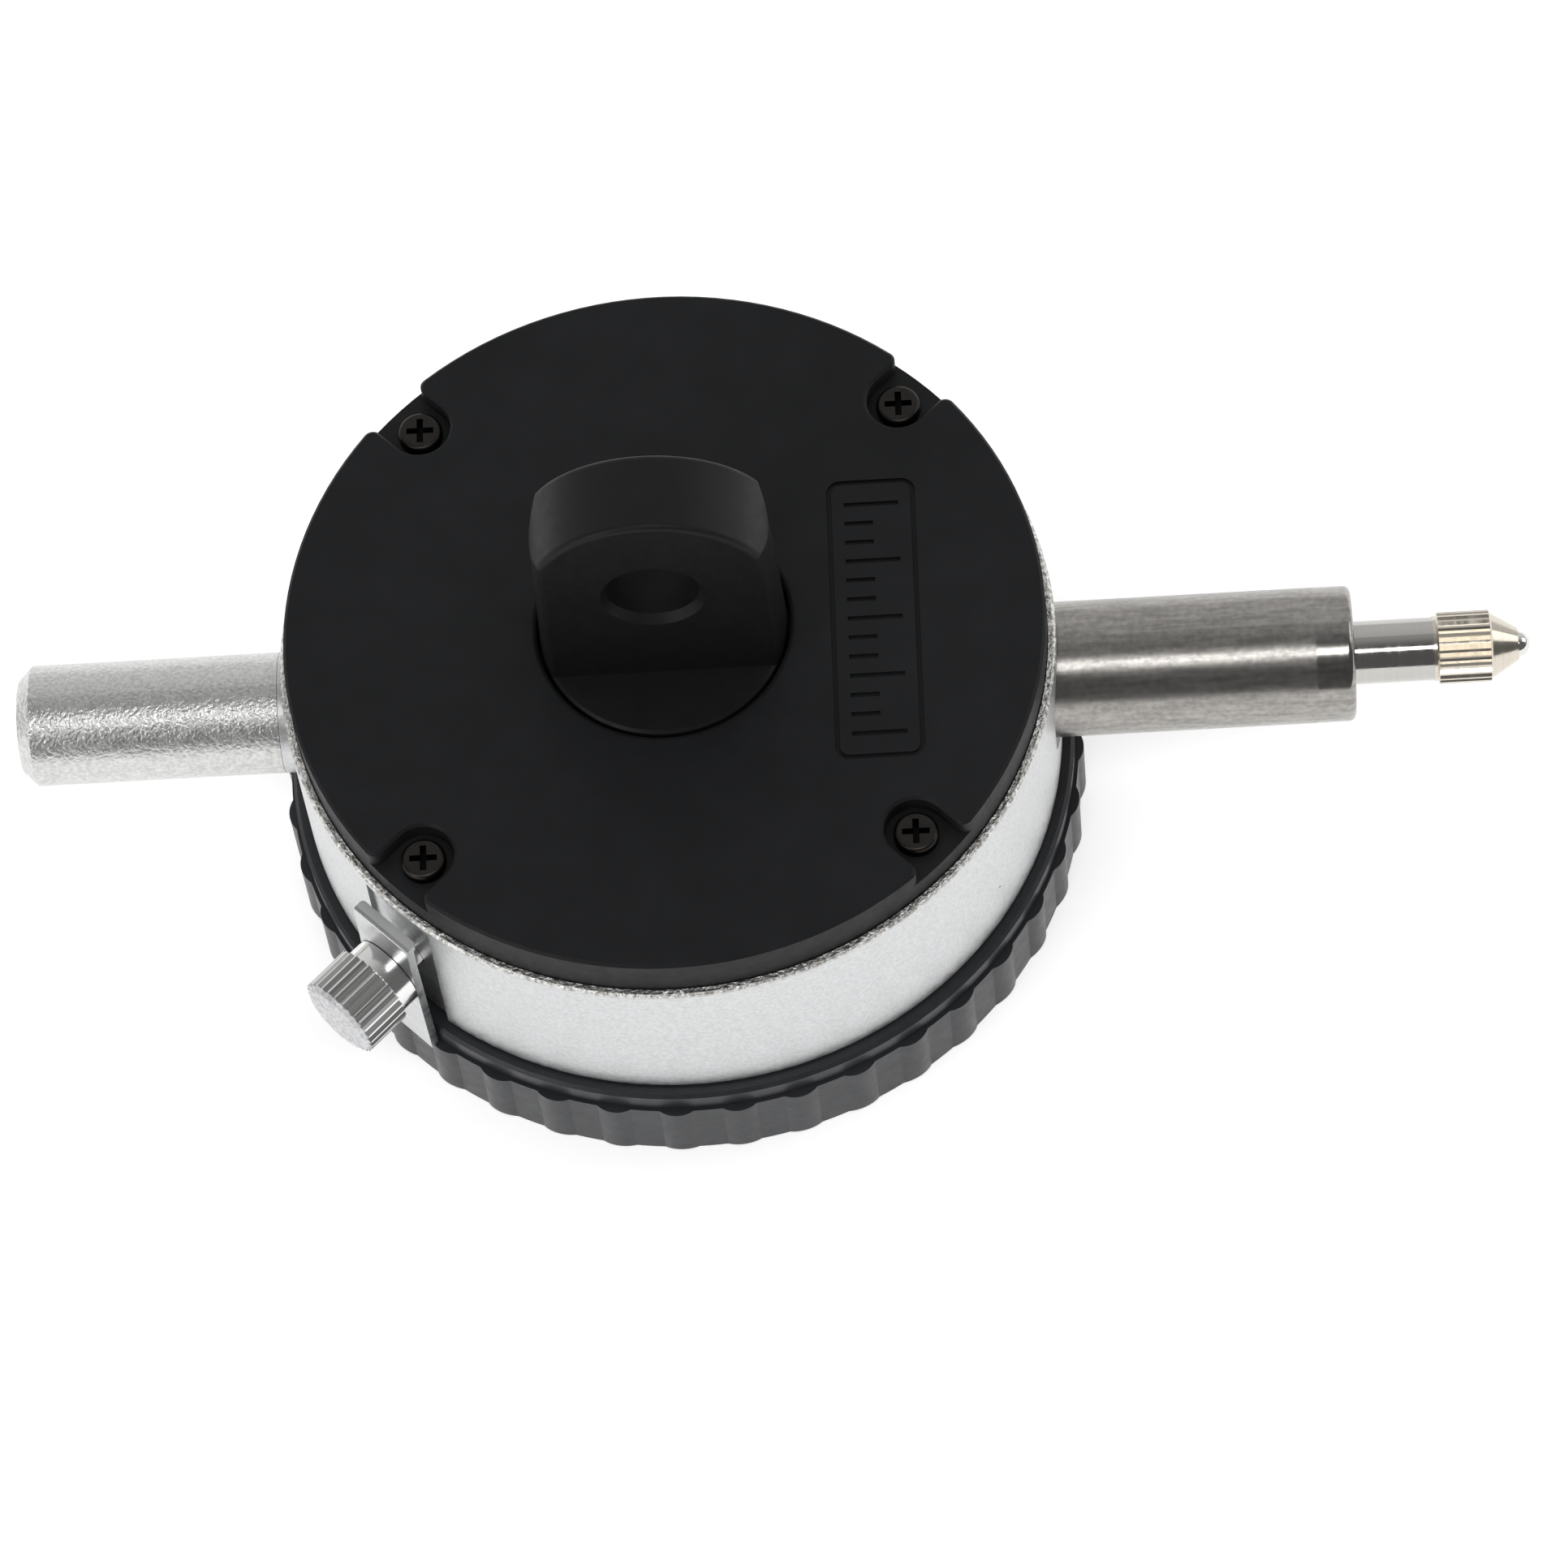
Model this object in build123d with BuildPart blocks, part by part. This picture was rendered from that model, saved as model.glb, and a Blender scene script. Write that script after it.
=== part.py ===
"""Plunger dial indicator with a lug back.

Frame: +Z is the dial axis and points to the back cover, and z = 0 is the plane of the bezel's front rim.
The spindle slides along X, with its contact point at +X. Sizes are in millimetres.
"""

import math
import os

from build123d import *

os.makedirs("parts", exist_ok=True)

# ---------------------------------------------------------------- clearances
running = 0.05  # radial gap of a turning or sliding fit
bush_gap = 0.02  # radial gap of a pivot or of the spindle in its bush
seat_gap = 0.05  # radial gap of a piece dropped into its seat
end_gap = 0.1  # axial gap at a shoulder that turns

# ---------------------------------------------------------------- overall size
bezel_d = 57.15
case_rim_z = 22.1

bezel_r = bezel_d / 2

# ---------------------------------------------------------------- case
case_step = 1.475  # how far the case wall stands inside the bezel
spigot_step = 0.7
case_wall = 2.5
case_foot_z = 8.0
rim_chamfer = 0.2
floor_z = 5.5
floor_t = 1.7
pad_r = 15.0
pad_t = 0.8
ledge_depth = 1.1
rim_wall = 0.55

case_r = bezel_r - case_step
spigot_r = case_r - spigot_step
case_bore_r = case_r - case_wall
floor_top_z = floor_z + floor_t
ledge_z = case_rim_z - ledge_depth
pad_z = floor_z - pad_t

# ---------------------------------------------------------------- back cover and its screws
cover_step = 0.62
cover_rise = 3.35
cover_t = 2.55
cover_edge = 0.4
cover_chamfer = 0.2
skirt_wall = 1.7
gasket_t = 0.3
screw_inset = 2.62
screw_head_r = 1.55
screw_head_t = 0.9
screw_crown = 0.35
cross_w = 0.45
cross_length = 1.9
cross_depth = 0.6
screw_shank_r = 0.8
screw_length = 6.5
screw_hole_gap = 0.15
pocket_r = 2.2
pocket_depth = 1.5
pocket_mouth_r = 0.7
boss_r = 2.6
pad_boss_r = 3.0

cover_r = case_r - cover_step
cover_top_z = case_rim_z + cover_rise
screw_offset = (cover_r - screw_inset) / math.sqrt(2)
cover_under_z = cover_top_z - cover_t
pocket_z = cover_top_z - pocket_depth
gasket_top_z = ledge_z + gasket_t
cover_screws_at = [(sx * screw_offset, sy * screw_offset) for sx in (-1, 1) for sy in (-1, 1)]

# engraved panel on the cover
panel_inset = 11.78
panel_y = -0.45
panel_w = 6.2
panel_h = 21.9
panel_corner = 1.0
engrave_w = 0.35
engrave_d = 0.25
tick_count = 13
tick_pitch = 1.5
tick_short = 2.0
tick_long = 3.8
tick_group = 3

panel_x = cover_r - panel_inset

# ---------------------------------------------------------------- lug
lug_disc_r = 8.58
lug_hole_gap = 0.2
lug_height = 18.55
lug_half_t_base = 3.78
lug_half_t_top = 2.83
lug_side_draft = 0.66
lug_arc_margin = 0.02
lug_bore_d = 6.35
lug_bore_chamfer = 0.4
lug_edge = 0.45
lug_disc_edge = 0.2
lug_root = 1.0
lug_flange_w = 3.42
lug_flange_t = 1.0
lug_screw_inset = 1.6
lug_screw_head_r = 1.1
lug_screw_shank_r = 0.6
lug_screw_head_t = 0.7
lug_screw_length = 2.3
lug_screw_count = 4

lug_top_z = cover_top_z + lug_height
lug_top_r = lug_disc_r - lug_side_draft
lug_arc_r = lug_disc_r + lug_arc_margin
lug_bore_r = lug_bore_d / 2
lug_bore_z = lug_top_z - lug_arc_r
lug_flange_r = lug_disc_r + lug_flange_w
lug_screw_ring = lug_flange_r - lug_screw_inset

# ---------------------------------------------------------------- spindle line
spindle_z = 15.5
spindle_r = 2.225
travel = 5.08

stem_d = 9.525
stem_sink = 0.45  # depth of the stem's shoulder in its spot face
stem_length = 21.1
spindle_reach = 5.6  # spindle beyond the stem at rest
stem_edge = 0.5
stem_bore_gap = 0.325
shank_r = 3.9
shank_length = 4.6
shank_bore_depth = 8.15
spot_face_gap = 0.85
front_bush_wall = 0.975
front_bush_length = 8.0
stem_boss_r = 5.4
stem_boss_length = 4.4

rear_boss_in = 5.6
rear_boss_out = 0.5
rear_boss_wall = 1.26
rear_bush_wall = 0.775
rear_bush_length = 11.4
rear_bush_depth = 5.5
spindle_tail = 3.6
cap_gap = 0.03
cap_length = 18.5
cap_bevel = 0.95
cap_wall_end = 1.4
cap_bore_gap = 0.5
cap_thread_length = 5.2

collar_wall = 0.725
collar_length = 2.0
collar_gap = 0.06

stem_r = stem_d / 2
stem_seat_x = case_r - stem_sink
stem_end_x = stem_seat_x + stem_length
stem_bore_r = spindle_r + stem_bore_gap
shank_bore_x = stem_seat_x - shank_bore_depth
contact_x = stem_end_x + spindle_reach
front_bush_r = spindle_r + front_bush_wall
rear_boss_out_x = -case_r - rear_boss_out
rear_bush_r = spindle_r + rear_bush_wall
rear_boss_r = rear_bush_r + rear_boss_wall
rear_bush_inner_x = rear_bush_depth - case_r
rear_bush_end_x = rear_bush_inner_x - rear_bush_length
spindle_rear_x = rear_bush_end_x - spindle_tail
cap_r = rear_boss_r
cap_bore_r = rear_bush_r + cap_bore_gap
cap_open_x = rear_boss_out_x - cap_gap
cap_end_x = cap_open_x - cap_length
collar_r = spindle_r + collar_wall

# contact point and its ball
point_neck_r = 2.3
point_neck = 0.35
knurl_r = 2.507
knurl_length = 3.62
knurl_count = 26
knurl_depth = 0.22
knurl_half_w = 0.22
knurl_bevel = 0.12
cone_length = 1.97
cone_small_r = 1.15
cone_large_r = 2.3
ball_r = 0.95
point_length = 6.82
stud_r = 1.25
stud_length = 4.5

point_tip_x = contact_x + point_length

# ---------------------------------------------------------------- bezel
rib_height = 0.375
rib_count = 40
rib_phase = -2.4
rib_r = 2.0
bezel_top_z = 7.7
flange_step = 0.625
grip_top_z = 6.0
flange_edge = 0.25
front_chamfer = 0.45
lip_w = 5.175
lip_t = 1.0
crystal_inset = 4.125
dial_ledge_z = 4.2
dial_inset = 3.125
dial_seat_t = 0.9

crystal_t = 1.4
crystal_gasket_t = 0.3
dial_t = 0.5
dial_split_r = 16.1
dial_split_gap = 0.2
dial_hole_r = 1.0
dial_feet_at = [(0.0, 12.0), (0.0, -12.0)]
dial_foot_r = 0.6
dial_foot_length = 1.8
keeper_t = 0.4
keeper_wall = 1.2
spacer_wall_low = 0.9
spacer_wall_high = 1.4

wire_sink = 0.05
wire_r = 0.3
wire_z = 6.6
wire_gap = 0.05
wire_swept = 300.0

land_r = bezel_r - rib_height
flange_r = bezel_r - flange_step
lip_r = bezel_r - lip_w
crystal_seat_r = bezel_r - crystal_inset
dial_seat_r = bezel_r - dial_inset
wire_ring_r = spigot_r - wire_sink
bezel_bore_r = spigot_r + running
crystal_z = lip_t + crystal_gasket_t
spacer_z = crystal_z + crystal_t
dial_top_z = dial_ledge_z + dial_t

# ---------------------------------------------------------------- bezel clamp
clamp_angle = 225.0
clamp_z = 14.8
bracket_gap = 0.15
bracket_t = 0.6
bracket_half_w = 2.6
bracket_half_w_low = 2.95
bracket_low_z = 6.25
bracket_top_z = 20.9
bracket_bend = 0.35
tab_depth = 0.35
tab_corner = 0.3
recess_depth = 0.5
recess_half_w = 3.0
recess_top_z = 21.5
clamp_shank_r = 1.2
clamp_thread_depth = 3.7
clamp_hole_depth = 4.1
clamp_neck_r = 2.75
clamp_neck = 1.5
clamp_head_r = 3.15
clamp_head = 3.4
clamp_dome = 0.25
clamp_dome_r = 2.6
clamp_knurl_count = 30
clamp_knurl_depth = 0.28
clamp_knurl_half_w = 0.27

recess_v = case_r - recess_depth
clamp_thread_in_v = case_r - clamp_thread_depth
clamp_hole_in_v = case_r - clamp_hole_depth
bracket_in_v = flange_r + bracket_gap
bracket_out_v = bracket_in_v + bracket_t
tab_in_v = bracket_in_v - tab_depth
clamp_neck_v = bracket_out_v + running

# ---------------------------------------------------------------- movement
plate_t = 1.4
plate_inset = 6.1
bridge_z = 18.6
bridge_t = 1.2
bridge_corner_r = 3.0
pillar_r = 1.5
pillars_at = [(-17.0, 9.0), (17.0, 9.0), (0.0, -12.5)]
cock_z = 11.6
cock_t = 1.2
cock_half_w = 2.2
cock_pillar_r = 1.3
cock_pillar_y = 7.8
top_screw_inset = 2.5
side_screw_inset = 2.0
side_screw_y = -3.0
small_head_r = 1.4
small_head_t = 0.8
small_shank_r = 0.7
small_shank = 2.6
screw_slot_w = 0.4
screw_slot_d = 0.3
upper_bush_r = 1.2

plate_r = case_r - plate_inset
side_screw_x = plate_r - side_screw_inset
plate_screws_at = [(0.0, plate_r - top_screw_inset)]
plate_screws_at += [(side * side_screw_x, side_screw_y) for side in (-1, 1)]
plate_z = floor_top_z
plate_top_z = plate_z + plate_t
bridge_top_z = bridge_z + bridge_t

# gear train: 16 tooth rack pinion, 60 tooth transfer gear, 15 tooth centre pinion, 60 tooth take-up gear
rack_pitch = 0.635
rack_depth = 0.645  # pitch line of the rack below the spindle's surface
rack_low_teeth = 3
rack_high_teeth = 11
rack_flat_margin = 0.55
pinion_teeth = 16
wheel_teeth = 60
centre_teeth = 15
gear_centres = 9.375
pressure_angle = 20.0
tooth_slack = 0.04
tip_share = 0.85
root_share = 1.25
wheel_z = 9.4
wheel_t = 1.0
pinion_z = 13.4
pinion_face = 4.2
centre_face_margin = 0.4
arbor_r = 0.5
centre_arbor_r = 0.6
centre_core_r = 1.1
pivot_r = 0.4
hub_r = 1.2
bush_r = 1.6

rack_line_y = spindle_r - rack_depth
rack_module = rack_pitch / math.pi
pinion_pitch_r = rack_module * pinion_teeth / 2
train_module = 2 * gear_centres / (wheel_teeth + centre_teeth)
gear_y = rack_line_y + pinion_pitch_r
gear_x = math.sqrt(gear_centres**2 - gear_y**2)
hub_low_z = plate_top_z + end_gap
pinion_top_z = pinion_z + pinion_face
pivot_shoulder_z = bridge_z - end_gap
pivot_end_z = bridge_top_z - seat_gap

# hands
pointer_z = 3.05
pointer_t = 0.2
pointer_length = 20.6
pointer_tail = 6.5
pointer_half_w = 0.6
pointer_tip_half_w = 0.12
pointer_tail_half_w = 0.9
pointer_hub_r = 1.3
pointer_hub_z = 2.95
pointer_hub_t = 0.65
hand_z = 3.7
hand_t = 0.18
hand_length = 3.6
hand_tail = 1.4
hand_half_w = 0.35
hand_hub_r = 0.8
hand_hub_t = 0.3

# guide, return spring and hairspring
pin_x = -10.0
pin_r = 0.75
pin_end_y = -9.2
guide_y = -5.0
guide_t = 1.7
guide_top_z = 18.2
guide_slot_margin = 0.2
guide_end = 1.4
guide_foot_w = 2.6
guide_foot_t = 1.2
guide_screws_x = (-15.6, -9.8)
guide_head_r = 1.1
post_x = 12.0
spring_y = -8.3
post_r = 0.75
post_top_z = 17.2
spring_wire_r = 0.15
spring_r = 1.3
spring_pitch = 1.05
spring_turns = 18
collet_r = 1.6
collet_z = 11.0
collet_t = 0.8
hairspring_z = 11.2
hairspring_h = 0.4
hairspring_t = 0.09
hairspring_pitch = 0.75
hairspring_turns = 3.5
hairspring_steps = 84
stud_pin_r = 0.5
stud_low_z = 11.0
stud_slot_w = 0.2

slot_high_x = pin_x + pin_r + guide_slot_margin
slot_low_x = pin_x - travel - pin_r - guide_slot_margin
guide_low_x = slot_low_x - guide_end
guide_high_x = slot_high_x + guide_end
guide_foot_y = guide_y - guide_t
guide_screw_y = guide_foot_y - guide_foot_w / 2
hook_r = pin_r + spring_wire_r + bush_gap
hairspring_reach = collet_r + hairspring_t / 2 + hairspring_pitch * hairspring_turns


# ---------------------------------------------------------------- helpers
def finish(part, node):
    """Label a finished piece and write it as its node."""
    part.label = node
    export_step(part, f"parts/{node}.step")


def ring_at(z, outer, inner, height):
    """Add a plain ring about the dial axis to the active part."""
    with BuildSketch(Plane.XY.offset(z)) as ring:
        Circle(outer)
        Circle(inner, mode=Mode.SUBTRACT)
    extrude(ring.sketch, amount=height)


def disc_at(x, y, z, radius, height, mode=Mode.ADD):
    """Add or cut an upright cylinder standing at z in the active part."""
    with BuildSketch(Plane.XY.offset(z)) as disc:
        with Locations((x, y)):
            Circle(radius)
    extrude(disc.sketch, amount=height, mode=mode)


def bar_along_x(x, radius, length, mode=Mode.ADD):
    """Add or cut a cylinder on the spindle axis, from x towards +X, in the active part."""
    with BuildSketch(Plane(origin=(x, 0, spindle_z), z_dir=(1, 0, 0))) as section:
        Circle(radius)
    extrude(section.sketch, amount=length, mode=mode)


def screw_at(x, y, seat_z, head_r, head_t, shank, length, up=1):
    """Add a slotted cheese head screw; up = 1 puts its head above the seat and -1 below it."""
    disc_at(x, y, seat_z, head_r, up * head_t)
    disc_at(x, y, seat_z, shank, -up * length)
    with BuildSketch(Plane.XY.offset(seat_z + up * head_t)) as slot:
        with Locations((x, y)):
            Rectangle(2 * head_r + end_gap, screw_slot_w)
    extrude(slot.sketch, amount=-up * screw_slot_d, mode=Mode.SUBTRACT)


def rod_between(start, end, radius):
    """Add a straight round rod from start to end in the active part."""
    span = Vector(*end) - Vector(*start)
    with BuildSketch(Plane(origin=start, z_dir=span)) as section:
        Circle(radius)
    extrude(section.sketch, amount=span.length, dir=span)


def involute(angle):
    """The involute function of a pressure angle in radians."""
    return math.tan(angle) - angle


def gear_outline(teeth, module, turned):
    """Corner points of a spur gear about the origin; one tooth is centred at the angle turned, in degrees."""
    pitch_r = teeth * module / 2
    base_r = pitch_r * math.cos(math.radians(pressure_angle))
    tip_r = pitch_r + tip_share * module
    root_r = pitch_r - root_share * module
    half_at_pitch = math.pi / (2 * teeth) - tooth_slack / (2 * pitch_r)
    start_r = max(base_r, root_r)
    radii = [root_r, start_r, (start_r + pitch_r) / 2, pitch_r, (pitch_r + tip_r) / 2, tip_r]
    if root_r >= base_r:
        radii = radii[1:]
    flank = []
    for r in radii:
        local = math.acos(min(1.0, base_r / r))
        half = half_at_pitch + involute(math.radians(pressure_angle)) - involute(local)
        flank.append((r, half))
    points = []
    for tooth in range(teeth):
        middle = math.radians(turned) + 2 * math.pi * tooth / teeth
        for r, half in flank:
            points.append((r * math.cos(middle - half), r * math.sin(middle - half)))
        for r, half in reversed(flank):
            points.append((r * math.cos(middle + half), r * math.sin(middle + half)))
    return points


def gear_at(x, y, z, height, teeth, module, turned):
    """Add a spur gear standing at z to the active part."""
    with BuildSketch(Plane.XY.offset(z)) as gear:
        with Locations((x, y)):
            Polygon(*gear_outline(teeth, module, turned), align=None)
    extrude(gear.sketch, amount=height)


def clamp_plane(v):
    """Plane facing out along the clamp screw's axis at radius v; X runs round the case and Y is +Z."""
    out = Vector(1, 0, 0).rotate(Axis.Z, clamp_angle)
    along = Vector(0, 1, 0).rotate(Axis.Z, clamp_angle)
    centre = out * v + Vector(0, 0, clamp_z)
    return Plane(origin=centre, x_dir=along, z_dir=out)


def clamp_disc(v, radius, length, mode=Mode.ADD):
    """Add or cut a cylinder on the clamp screw's axis, from radius v outwards, in the active part."""
    with BuildSketch(clamp_plane(v)) as section:
        Circle(radius)
    extrude(section.sketch, amount=length, mode=mode)


# gear phases: each pair is in mesh at rest
line_angle = math.degrees(math.atan2(gear_y, gear_x))
transfer_turned = -line_angle
centre_turned = 180 - line_angle + 180 / centre_teeth
towards_takeup = line_angle
tooth_step = 360 / centre_teeth
centre_offset = (towards_takeup - centre_turned + tooth_step / 2) % tooth_step - tooth_step / 2
takeup_gap = 180 + line_angle + centre_offset * centre_teeth / wheel_teeth
takeup_turned = takeup_gap + 180 / wheel_teeth

# ================================================================= case
with BuildPart() as case:
    with BuildSketch(Plane.XZ):
        with BuildLine():
            Polyline(
                (0, pad_z),
                (pad_r, pad_z),
                (pad_r, floor_z),
                (spigot_r, floor_z),
                (spigot_r, case_foot_z),
                (case_r, case_foot_z),
                (case_r, case_rim_z - rim_chamfer),
                (case_r - rim_chamfer, case_rim_z),
                (case_r - rim_wall, case_rim_z),
                (case_r - rim_wall, ledge_z),
                (case_bore_r, ledge_z),
                (case_bore_r, floor_top_z),
                (0, floor_top_z),
                close=True,
            )
        make_face()
    revolve(axis=Axis.Z)
    # columns for the cover screws
    with BuildSketch(Plane.XY.offset(floor_top_z)):
        with Locations(*cover_screws_at):
            Circle(boss_r)
    extrude(amount=ledge_z - floor_top_z)
    # boss inside the wall for the stem's shank
    bar_along_x(stem_seat_x - stem_boss_length, stem_boss_r, stem_boss_length - running)
    # boss for the rear bush, a little proud of the wall
    bar_along_x(rear_boss_out_x, rear_boss_r, rear_boss_in)
    # seat and bore for the stem
    bar_along_x(stem_seat_x, stem_r + spot_face_gap, case_r, mode=Mode.SUBTRACT)
    bar_along_x(shank_bore_x, shank_r + bush_gap, case_r, mode=Mode.SUBTRACT)
    # bore for the rear bush
    bar_along_x(rear_boss_out_x, rear_bush_r, rear_boss_in, mode=Mode.SUBTRACT)
    # threaded holes for the cover screws
    for x, y in cover_screws_at:
        disc_at(x, y, ledge_z, screw_shank_r, pocket_z - screw_length - ledge_z, mode=Mode.SUBTRACT)
    # threaded holes for the movement plate's screws
    for x, y in plate_screws_at:
        disc_at(x, y, floor_top_z, small_shank_r, plate_t - small_shank, mode=Mode.SUBTRACT)
    # passages for the pointer and counter arbors, and holes for the dial centre's feet
    disc_at(0, 0, pad_z, bush_r, floor_top_z - pad_z, mode=Mode.SUBTRACT)
    disc_at(-gear_x, gear_y, pad_z, bush_r, floor_top_z - pad_z, mode=Mode.SUBTRACT)
    for x, y in dial_feet_at:
        disc_at(x, y, pad_z, dial_foot_r, dial_foot_length, mode=Mode.SUBTRACT)
    # groove for the bezel's spring wire
    with BuildSketch(Plane.XZ):
        with Locations((wire_ring_r, wire_z)):
            Rectangle(2 * wire_r, 2 * (wire_r + wire_gap))
    revolve(axis=Axis.Z, mode=Mode.SUBTRACT)
    # flat recess behind the clamp bracket, and the clamp screw's threaded hole
    recess_low = case_foot_z - clamp_z
    recess_high = recess_top_z - clamp_z
    with BuildSketch(clamp_plane(recess_v)):
        with Locations((0, (recess_low + recess_high) / 2)):
            Rectangle(2 * recess_half_w, recess_high - recess_low)
    extrude(amount=case_wall, mode=Mode.SUBTRACT)
    clamp_disc(clamp_hole_in_v, clamp_shank_r + running, case_r - clamp_hole_in_v, mode=Mode.SUBTRACT)
finish(case.part, "case")

# ================================================================= back cover
with BuildPart() as back_cover:
    with BuildSketch(Plane.XZ):
        with BuildLine():
            Polyline(
                (lug_disc_r + lug_hole_gap, cover_under_z),
                (lug_disc_r + lug_hole_gap, cover_top_z),
                (cover_r, cover_top_z),
                (cover_r, gasket_top_z),
                (cover_r - skirt_wall, gasket_top_z),
                (cover_r - skirt_wall, cover_under_z),
                close=True,
            )
        make_face()
    revolve(axis=Axis.Z)
    with BuildSketch(Plane.XY.offset(gasket_top_z)):
        with Locations(*cover_screws_at):
            Circle(pad_boss_r)
        Circle(cover_r, mode=Mode.INTERSECT)
    extrude(amount=cover_under_z - gasket_top_z)
    # U shaped pockets, open to the edge, with rounded mouths
    mouth = cover_r - math.hypot(screw_offset, screw_offset)
    with BuildSketch(Plane.XY.offset(pocket_z)):
        for turned in (45, 135, 225, 315):
            with PolarLocations(math.hypot(screw_offset, screw_offset), 1, start_angle=turned):
                Circle(pocket_r)
                with Locations((mouth, 0)):
                    Rectangle(2 * mouth, 2 * pocket_r)
    extrude(amount=pocket_depth, mode=Mode.SUBTRACT)
    mouth_edges = back_cover.edges().filter_by(Axis.Z).filter_by(
        lambda e: math.hypot(e.center().X, e.center().Y) > cover_r - 0.05 and e.center().Z > pocket_z
    )
    fillet(mouth_edges, radius=pocket_mouth_r)
    top_edges = back_cover.faces().filter_by(Plane.XY).sort_by(Axis.Z)[-1].outer_wire().edges()
    chamfer(top_edges, length=cover_chamfer)
    rim = back_cover.edges().filter_by(GeomType.CIRCLE).filter_by(
        lambda e: abs(e.radius - lug_disc_r - lug_hole_gap) < 0.01 and e.center().Z > cover_top_z - 0.01
    )
    fillet(rim, radius=cover_edge)
    # screw holes
    screw_hole_r = screw_shank_r + screw_hole_gap
    for x, y in cover_screws_at:
        disc_at(x, y, gasket_top_z, screw_hole_r, pocket_z - gasket_top_z, mode=Mode.SUBTRACT)
    # blind holes for the lug's screws
    with BuildSketch(Plane.XY.offset(cover_under_z)):
        with PolarLocations(lug_screw_ring, lug_screw_count):
            Circle(lug_screw_shank_r)
    extrude(amount=lug_screw_length - lug_flange_t, mode=Mode.SUBTRACT)
    # engraved frame and scale marks
    with BuildSketch(Plane.XY.offset(cover_top_z)):
        with Locations((panel_x, panel_y)):
            RectangleRounded(panel_w, panel_h, panel_corner)
            RectangleRounded(
                panel_w - 2 * engrave_w, panel_h - 2 * engrave_w, panel_corner - engrave_w, mode=Mode.SUBTRACT
            )
        for tick in range(tick_count):
            offset = (tick - (tick_count - 1) / 2) * tick_pitch
            length = tick_long if tick % tick_group == 0 else tick_short
            with Locations((panel_x + (length - tick_long) / 2, panel_y + offset)):
                Rectangle(length, engrave_w)
    extrude(amount=-engrave_d, mode=Mode.SUBTRACT)
finish(back_cover.part, "back_cover")

with BuildPart() as cover_gasket:
    with BuildSketch(Plane.XY.offset(ledge_z)):
        Circle(cover_r)
        Circle(cover_r - skirt_wall, mode=Mode.SUBTRACT)
        with Locations(*cover_screws_at):
            Circle(boss_r)
        Circle(cover_r, mode=Mode.INTERSECT)
        with Locations(*cover_screws_at):
            Circle(screw_shank_r + screw_hole_gap, mode=Mode.SUBTRACT)
    extrude(amount=gasket_t)
finish(cover_gasket.part, "cover_gasket")

with BuildPart() as cover_screws:
    for x, y in cover_screws_at:
        disc_at(x, y, pocket_z, screw_head_r, screw_head_t)
        disc_at(x, y, pocket_z, screw_shank_r, -screw_length)
    crowns = cover_screws.edges().group_by(Axis.Z)[-1]
    fillet(crowns, radius=screw_crown)
    with BuildSketch(Plane.XY.offset(pocket_z + screw_head_t)):
        for x, y in cover_screws_at:
            with Locations((x, y)):
                Rectangle(cross_length, cross_w)
                Rectangle(cross_w, cross_length)
    extrude(amount=-cross_depth, mode=Mode.SUBTRACT)
finish(cover_screws.part, "cover_screws")

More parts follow.
